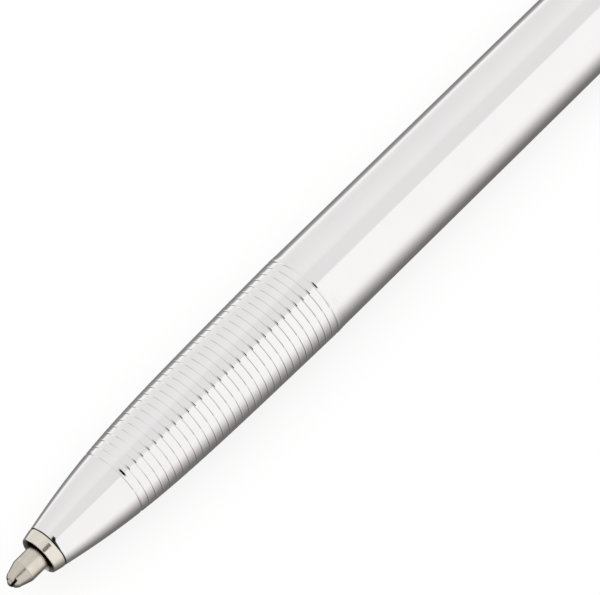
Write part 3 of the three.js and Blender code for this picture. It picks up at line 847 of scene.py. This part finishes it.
def leaf_object():
    """Strip along the barrel, bent in at its end to an eye round the rod."""
    half, thick, edge = 1.2, 0.15, 0.05     # half its width and thickness, and its bevel
    middle = 3.325                          # its height over the axis
    bend_x, bend = 106.4, 0.3
    section = [(-half + edge, -thick), (half - edge, -thick), (half, -thick + edge),
               (half, thick - edge), (half - edge, thick), (-half + edge, thick),
               (-half, thick - edge), (-half, -thick + edge)]
    line = [(89.2, 0), (89.25, 0)] + [(92 + (bend_x - 92) * i / 12, 0) for i in range(13)]
    line += [(bend_x + bend * math.sin(a), -bend * (1 - math.cos(a)))
             for a in (math.radians(15 * k) for k in range(1, 7))]
    line.append((bend_x + bend, -0.6))
    strip = [[world(*towards_button(middle + drop + v * along.x, u, x - v * along.y))
              for u, v in section] for x, drop, along in directed(line)]
    strip_part = loft_object("latch_leaf_strip", strip, spring_steel)
    verts, faces = lathe_mesh([
        (106.55, 2.80), (106.6, 2.75), (106.8, 2.75), (106.85, 2.80), (106.85, 3.2),
        (106.8, 3.25), (106.6, 3.25), (106.55, 3.2),
    ], 96, None, 0.02)
    shift = -SIDE * 0.5
    eye = mesh_object("latch_leaf_eye",
                      [world(x, y + shift.y, z + shift.z) for x, y, z in verts], faces,
                      spring_steel)
    bpy.ops.object.select_all(action="DESELECT")
    strip_part.select_set(True)
    eye.select_set(True)
    bpy.context.view_layer.objects.active = strip_part
    bpy.ops.object.join()
    strip_part.name = "latch_leaf_bent"
    sharpen(strip_part, 40)
    return strip_part


leaf = leaf_object()
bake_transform(leaf)
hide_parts("latch_leaf")


# Clip

def bezier(points, steps):
    """Points along a curve of any degree, both ends included."""
    out = []
    degree = len(points) - 1
    for i in range(steps + 1):
        t = i / steps
        out.append(tuple(
            sum(math.comb(degree, k) * (1 - t) ** (degree - k) * t ** k * p[axis]
                for k, p in enumerate(points)) for axis in (0, 1)))
    return out


def clip_line():
    """Middle of the sheet as (x, height over the axis)."""
    tab, length, toe = 118.45, 33.2, 3
    high, low = 6.9, 5.25
    heel = tab - length + toe
    arm_end, arm_low = heel + 4.25, high - 0.25
    line = bezier([(tab, 4.15), (tab, high - 1)], 6)
    for points, steps in (
        ([(tab, high - 1), (tab, high), (tab - 1, high)], 14),
        ([(tab - 1, high), (arm_end, arm_low)], 16),
        ([(arm_end, arm_low), (arm_end - 2.1, arm_low), (heel + 2.1, low), (heel, low)], 18),
        ([(heel, low), (heel - 1.5, low), (heel - toe, low + 1.15)], 16),
    ):
        line += bezier(points, steps)[1:]
    return line


def clip_object():
    """The bent sheet, narrower towards its rounded tip, with its outer edges rolled."""
    root_half, tip_half, least_half = 1.87, 1.48, 0.25
    nose = 1.3                              # radius of the tip's outline
    thick, corner, edge = 0.39, 0.24, 0.12  # half its thickness, its outer and its inner rounding
    line = clip_line()
    lengths = [0.0]
    for a, b in zip(line, line[1:]):
        lengths.append(lengths[-1] + math.dist(a, b))
    side = Vector((0, SIDE.z, -SIDE.y))
    rings = []
    for i, (x, height, along) in enumerate(directed(line)):
        out = Vector((along.y, -along.x))
        half = root_half + (tip_half - root_half) * i / (len(line) - 1)
        from_tip = lengths[-1] - lengths[i]
        if from_tip < nose:
            half = half - nose + math.sqrt(max(nose ** 2 - (nose - from_tip) ** 2, 0)) * 0.999
        half = max(half, least_half)
        section = []
        for centre_u, centre_v, start, size in (
            (half - edge, edge - thick, -90, edge), (half - corner, thick - corner, 0, corner),
            (corner - half, thick - corner, 90, corner), (edge - half, edge - thick, 180, edge),
        ):
            for a in (math.radians(start + 90 * k / 5) for k in range(6)):
                section.append((centre_u + size * math.cos(a), centre_v + size * math.sin(a)))
        rings.append([world(*(Vector((x, 0, 0)) + SIDE * height + side * u
                              + (Vector((out.x, 0, 0)) + SIDE * out.y) * v)) for u, v in section])
    return loft_object("clip_sheet", rings, chrome_fittings)


clip = clip_object()
sharpen(clip, 50)
stand_for(clip, "clip", "clip")


# Stage and light

def floor_object():
    """White paper. Metal reflects it as a card with bands of grey across the pen's length."""
    half = 2.5
    verts = [(-half, -half, 0), (half, -half, 0), (half, half, 0), (-half, half, 0)]
    material = bpy.data.materials.new("floor_paper")
    n = emptied(material)
    output = n.add("ShaderNodeOutputMaterial")
    paper = n.add("ShaderNodeBsdfDiffuse")
    paper.inputs["Color"].default_value = shade(0.97)
    split = n.add("ShaderNodeSeparateXYZ")
    n.link(n.add("ShaderNodeTexCoord").outputs["Object"], split.inputs[0])
    # the card's bands are narrower beside the pen's point
    spread = n.range(split.outputs["X"], -0.060, -0.045, 1.3, 0.96)
    reach = n.range(n.math("MULTIPLY", split.outputs["Y"], spread), -0.1, 0.1, 0, 1)

    def stop(y_mm, level):
        warmth = 0.05 if -25 < y_mm < 2 else 0.025
        return (0.5 + y_mm / 200, (level, level * (1 - warmth), level * (1.005 - warmth)))

    tone = n.ramp(reach, [
        stop(-90, 1.07), stop(-43, 1.04), stop(-27.5, 0.94), stop(-19.6, 0.82), stop(-15.2, 0.66),
        stop(-12.4, 0.51), stop(-9.9, 0.36), stop(-8.2, 0.24), stop(-6.5, 0.185), stop(0, 0.16),
        stop(8.5, 0.25), stop(12.6, 0.28), stop(15.4, 0.37), stop(19.4, 0.58), stop(23, 0.97),
        stop(27, 1.06), stop(31.6, 1.08),
        stop(45, 1.03), stop(65, 0.93), stop(90, 0.92),
    ])
    card = n.add("ShaderNodeEmission")
    n.link(tone, card.inputs["Color"])
    white = n.add("ShaderNodeEmission")
    path = n.add("ShaderNodeLightPath")
    whitened = n.math("MULTIPLY", path.outputs["Is Camera Ray"], 0.8)
    seen = n.shader_mix(whitened, paper.outputs[0], white.outputs[0])
    floor = n.shader_mix(path.outputs["Is Glossy Ray"], seen, card.outputs[0])
    n.link(floor, output.inputs["Surface"])
    obj = mesh_object("floor", verts, [(0, 1, 2, 3)], material, smooth=False)


def light_tent():
    """A white tent round the pen. Its two sides differ a little in tone and meet along the pen,
    and it has a narrow dark slot and a darker foot."""
    tent = bpy.data.worlds.new("tent")
    n = emptied(tent)
    direction = n.add("ShaderNodeTexCoord").outputs["Generated"]
    round_angle = n.math("ARCTAN2", n.dot(direction, BESIDE), n.dot(direction, OVER))
    degrees = n.math("DEGREES", round_angle)
    lengthwise = n.math("DEGREES", n.math("ARCSINE", n.dot(direction, (1, 0, 0))))
    # the line where the two sides meet lies a little lower ahead of the plain tube's reflection
    lean = n.range(lengthwise, 18.4, 20.0, 1.5, 0)
    share = n.range(n.math("SUBTRACT", degrees, lean), -180, 180, 0, 1)

    def stop(angle, level):
        return (0.5 + angle / 360, (level, level * 0.987, level * 0.982))

    sides = n.ramp(share, [
        stop(-180, 0.4), stop(-128, 0.98), stop(-114, 0.93), stop(-102, 0.89), stop(-75, 0.91),
        stop(-52, 0.95), stop(-42, 0.945), stop(-34, 0.885), stop(-4, 0.875), stop(-1.5, 0.90),
        stop(1.5, 1.08), stop(60, 1.09), stop(75, 1.08), stop(180, 0.4),
    ])
    along = n.range(lengthwise, -90, 90, 0, 1)

    def end(angle, level):
        return (0.5 + angle / 180, level)

    # how much darker the tent is towards its ends, more so on the near-white side
    darker_side = n.range(degrees, -12, 6, 0.3, 1.0, smooth=True)
    falloff = n.ramp(along, [end(-80, 0.35), end(-60, 0.0), end(-30, 0.03), end(12, 0.03),
                             end(19, 0.0), end(42, 0.0), end(56, 0.5), end(90, 0.55)])
    kept = n.math("SUBTRACT", 1.0, n.math("MULTIPLY", falloff, darker_side))
    # the slot's reach to each side of OVER, in hundreds of degrees, so that a ramp can hold it
    grey_reach = n.ramp(along, [end(-36, 0.075), end(-31, 0.06), end(-22, 0.06), end(-20.5, 0.09)])
    white_reach = n.ramp(along, [end(-22, 0.05), end(-20.5, 0.07)])
    grey_end = n.math("ADD", degrees, n.math("MULTIPLY", grey_reach, 100))
    white_end = n.math("SUBTRACT", degrees, n.math("MULTIPLY", white_reach, 100))
    # in the grooves the slot fades in towards its sharp edge, and elsewhere it starts sooner
    faded = n.range(grey_end, -8, 5.5, 0, 1)
    sooner = n.range(grey_end, -6, 1, 0, 1, smooth=True)
    off_groove = n.range(lengthwise, -22, -20.5, 0, 1)
    added = n.math("MULTIPLY", off_groove, n.math("SUBTRACT", sooner, faded))
    soft_edge = n.math("ADD", faded, added)
    sharp_edge = n.range(white_end, 0, 1.5, 1, 0, smooth=True)
    in_slot = n.math("MULTIPLY", soft_edge, sharp_edge)
    depth = n.ramp(along, [end(-46, 0.22), end(-36, 0.985), end(-21.5, 0.985), end(-20, 0.5),
                           end(-17, 0.5), end(-15.5, 0.985), end(-8.4, 0.985), end(-7.2, 0.0)])
    open_part = n.math("SUBTRACT", 1.0, n.math("MULTIPLY", in_slot, depth))
    # the foot is darker towards the tent's two ends, which gives the pen's outline an edge
    foot = n.range(n.dot(direction, (0, 0, 1)), 0.02, 0.6, 0.28, 0, smooth=True)
    aside = n.math("ADD", n.range(lengthwise, -46, -36, 1, 0, smooth=True),
                   n.range(lengthwise, 23, 33, 0, 1, smooth=True))
    footing = n.math("SUBTRACT", 1.0, n.math("MULTIPLY", foot, aside))
    background = n.add("ShaderNodeBackground")
    n.link(sides, background.inputs["Color"])
    n.link(n.math("MULTIPLY", n.math("MULTIPLY", kept, open_part), footing),
           background.inputs["Strength"])
    output = n.add("ShaderNodeOutputWorld")
    n.link(background.outputs[0], output.inputs["Surface"])
    scene.world = tent


def fill_light():
    """Even light from above that brings matt surfaces to a plain level; metal doesn't mirror it."""
    lamp = bpy.data.lights.new("fill", "SUN")
    lamp.energy = 0.9
    lamp.angle = math.radians(100)
    obj = bpy.data.objects.new("fill", lamp)
    obj.visible_glossy = False
    scene.collection.objects.link(obj)


floor_object()
light_tent()
fill_light()
scene.view_settings.view_transform = "Standard"
